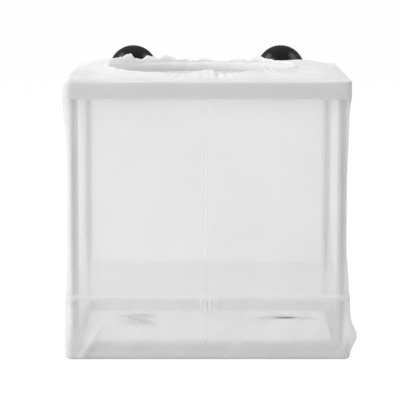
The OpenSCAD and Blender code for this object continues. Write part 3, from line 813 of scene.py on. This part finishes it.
cord_turn = np.linspace(0, math.tau, CORD_STOPS, endpoint=False)
cord_out = 1.8 + 0.25 * np.interp(cord_turn, turn, lumps)
cord_path = np.stack([MOUTH_X + (MOUTH_HALF_W + cord_out) * np.cos(cord_turn),
                      MOUTH_Y + (MOUTH_HALF_D + cord_out) * np.sin(cord_turn),
                      np.full(CORD_STOPS, ROOF_Z)], axis=-1)
outwards = np.stack([np.cos(cord_turn), np.sin(cord_turn), np.zeros(CORD_STOPS)], axis=-1)
upwards = np.tile([0, 0, 1.0], (CORD_STOPS, 1))
section = np.array([(ELASTIC_MM / 2 * math.cos(math.radians(30 * k)),
                     ELASTIC_MM / 2 * math.sin(math.radians(30 * k))) for k in range(12)])
points, faces = sweep(cord_path, upwards, outwards, section, True)
elastic = make_piece("hem_elastic", points, faces, elastic_braid)
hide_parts("mouth_elastic")


# THE SUCTION CUPS
# Two black cups of soft PVC, each moulded in one piece with a stem and a button. The button is
# pushed through a hole in the back top bar, so the cup can turn but not come out.
CUP_DEEP = 9.7
CUP_BLACK = "#030303"
CUP_DUST = "#080808"
BLOOM_MM = 6
SKIN_MM, SKIN_DEEP_MM = 0.5, 0.03

# Soft PVC: black with a low, wide shine, slightly cloudy where plasticiser has come out
soft_pvc, tree = start_material("cup_soft_pvc_moulded")
place = add_node(tree, "ShaderNodeTexCoord").outputs["Object"]
bloom = add_node(tree, "ShaderNodeTexNoise", None,
                 {"Vector": place, "Scale": 1 / (BLOOM_MM * MM), "Detail": 4.0})
tint = add_node(tree, "ShaderNodeMix", {"data_type": "RGBA"},
                {0: bloom.outputs["Fac"], 6: linear(CUP_BLACK), 7: linear(CUP_DUST)})
shine = add_node(tree, "ShaderNodeMapRange", None,
                 {"Value": bloom.outputs["Fac"], "To Min": 0.18, "To Max": 0.3})
skin = add_node(tree, "ShaderNodeTexNoise", None,
                {"Vector": place, "Scale": 1 / (SKIN_MM * MM), "Detail": 2.0})
relief = add_node(tree, "ShaderNodeBump", None,
                  {"Height": skin.outputs["Fac"], "Strength": 0.1, "Distance": SKIN_DEEP_MM * MM})
surface = add_node(tree, "ShaderNodeBsdfPrincipled", None,
                   {"Base Color": tint.outputs[2], "Roughness": shine.outputs[0], "IOR": 1.53,
                    "Specular IOR Level": 0.15, "Normal": relief.outputs[0]})
add_node(tree, "ShaderNodeOutputMaterial", None, {"Surface": surface.outputs[0]})


def arc(centre_r, centre_z, radius, first, last, count):
    """Places on an arc, as distance from the axis and along it. 0 degrees is towards the button."""
    return [(centre_r + radius * math.sin(a), centre_z - radius * math.cos(a))
            for a in np.radians(np.linspace(first, last, count))]


# From the button's end along the stem, over the outside of the cup to its rim, and back down inside
cup_profile = (
    [(0, -5.9), (2.2, -5.9)] + arc(2.35, -5.35, 0.55, 0, 90, 5)
    + [(2.9, -4.4)] + arc(2.5, -4.3, 0.4, 90, 170, 4)
    + [(2.0, -3.9), (2.0, -0.5)] + arc(2.5, -0.5, 0.5, 270, 360, 4)
    + [(3.2, 0.0), (4.9, 0.0)]
    + arc(0, 15.88, 16.8, 19.2, 60.5, 26)
    + arc(14.55, 8.85, 0.48, 60, 175, 7)
    + [(14.0, 9.66), (13.7, 9.5)]
    + arc(0, 19.41, 16.71, 54.0, 0, 30)
)


def turned_piece(name, profile, centre, body, stops=96):
    """A piece that is round about an axis which points back, along Y. Its ends are on the axis."""
    points, faces, last = [], [], None
    for r, depth in profile:
        count = stops if r > 1e-6 else 1
        ring = list(range(len(points), len(points) + count)) * (stops // count)
        for k in range(count):
            a = math.tau * k / stops
            points.append((centre[0] + r * math.cos(a), centre[1] + depth, centre[2] + r * math.sin(a)))
        for k in range(stops if last else 0):
            q = (k + 1) % stops
            face = (last[k], last[q], ring[q], ring[k])
            faces.append(tuple(dict.fromkeys(face)))
        last = ring
    return make_piece(name, points, faces, soft_pvc, body=body)


for side in ("left", "right"):
    cup_low, cup_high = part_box("suction_cup_" + side)
    centre = ((cup_low.x + cup_high.x) / 2 / MM, cup_high.y / MM - CUP_DEEP,
              (cup_low.z + cup_high.z) / 2 / MM)
    cup = turned_piece("cup_" + side, cup_profile, centre, side + "_cup")
    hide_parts("suction_cup_" + side)


# THE FLOOR AND THE LIGHT
# A white table under soft light from all round, as for a catalogue picture. The strongest lamp stands
# to the left, in front and above, so the right side and the foot of the front look greyer.
WHITE = "#FFFFFF"
CARD_WHITE = "#D6D6D6"
SEEN_WHITE = 0.92  # the rest of what is seen is the lit card, which keeps the object's shadow
PAST_WHITE = 1.05  # a little too bright, so that the card's share doesn't make the white grey
HALF_TABLE, TABLE_Z = 6, -0.0002
ROOM_STRENGTH = 0.47


def seen_rays(tree):
    """1 for what the camera sees straight, in a gloss or through glass, and 0 for other light."""
    ray = add_node(tree, "ShaderNodeLightPath")
    seen = add_node(tree, "ShaderNodeMath", {"operation": "MAXIMUM"},
                    {0: ray.outputs["Is Camera Ray"], 1: ray.outputs["Is Glossy Ray"]})
    return add_node(tree, "ShaderNodeMath", {"operation": "MAXIMUM"},
                    {0: seen.outputs[0], 1: ray.outputs["Is Transmission Ray"]})


# Matt white card. What the camera sees of it is a plain white, apart from a little of the shadow
table_card, tree = start_material("floor_white_card")
card = add_node(tree, "ShaderNodeBsdfDiffuse", None, {"Color": linear(CARD_WHITE)})
plain_white = add_node(tree, "ShaderNodeEmission", None,
                       {"Color": linear(WHITE), "Strength": PAST_WHITE})
share = add_node(tree, "ShaderNodeMath", {"operation": "MULTIPLY"},
                 {0: seen_rays(tree).outputs[0], 1: SEEN_WHITE})
surface = add_node(tree, "ShaderNodeMixShader", None,
                   {0: share.outputs[0], 1: card.outputs[0], 2: plain_white.outputs[0]})
add_node(tree, "ShaderNodeOutputMaterial", None, {"Surface": surface.outputs[0]})
floor_mesh = bpy.data.meshes.new("table")
floor_mesh.from_pydata([(HALF_TABLE * x, HALF_TABLE * y, TABLE_Z)
                        for x, y in ((-1, -1), (1, -1), (1, 1), (-1, 1))], [], [(0, 1, 2, 3)])
floor_mesh.materials.append(table_card)
floor = bpy.data.objects.new("table", floor_mesh)
scene.collection.objects.link(floor)

world = bpy.data.worlds.new("studio")
scene.world = world
world.use_nodes = True
tree = world.node_tree
tree.nodes.clear()
room_light = add_node(tree, "ShaderNodeBackground", None,
                      {"Color": linear(WHITE), "Strength": ROOM_STRENGTH})
backdrop = add_node(tree, "ShaderNodeBackground", None, {"Color": linear(WHITE), "Strength": 1.0})
surface = add_node(tree, "ShaderNodeMixShader", None,
                   {0: seen_rays(tree).outputs[0], 1: room_light.outputs[0], 2: backdrop.outputs[0]})
add_node(tree, "ShaderNodeOutputWorld", None, {"Surface": surface.outputs[0]})

AIMED_AT = Vector((0, 0, 0.08))  # the middle of the box
for name, place, size, watts in (
    ("softbox_front_left", (-1.0, -0.95, 0.9), (0.9, 0.9), 16.3),
    ("softbox_left", (-1.1, -0.15, 1.1), (0.6, 0.7), 9.8),
    ("softbox_right", (1.1, -0.15, 1.1), (0.6, 0.7), 7.0),
    ("softbox_above", (-0.1, 0.15, 1.2), (0.9, 0.9), 0.8),
    ("softbox_behind", (-0.2, 1.2, 0.5), (0.9, 0.7), 1.8),
):
    lamp = bpy.data.lights.new(name, "AREA")
    lamp.shape = "RECTANGLE"
    lamp.size, lamp.size_y = size
    lamp.energy = watts
    lamp_object = bpy.data.objects.new(name, lamp)
    lamp_object.location = place
    aim = AIMED_AT - lamp_object.location
    lamp_object.rotation_euler = aim.to_track_quat("-Z", "Y").to_euler()
    scene.collection.objects.link(lamp_object)
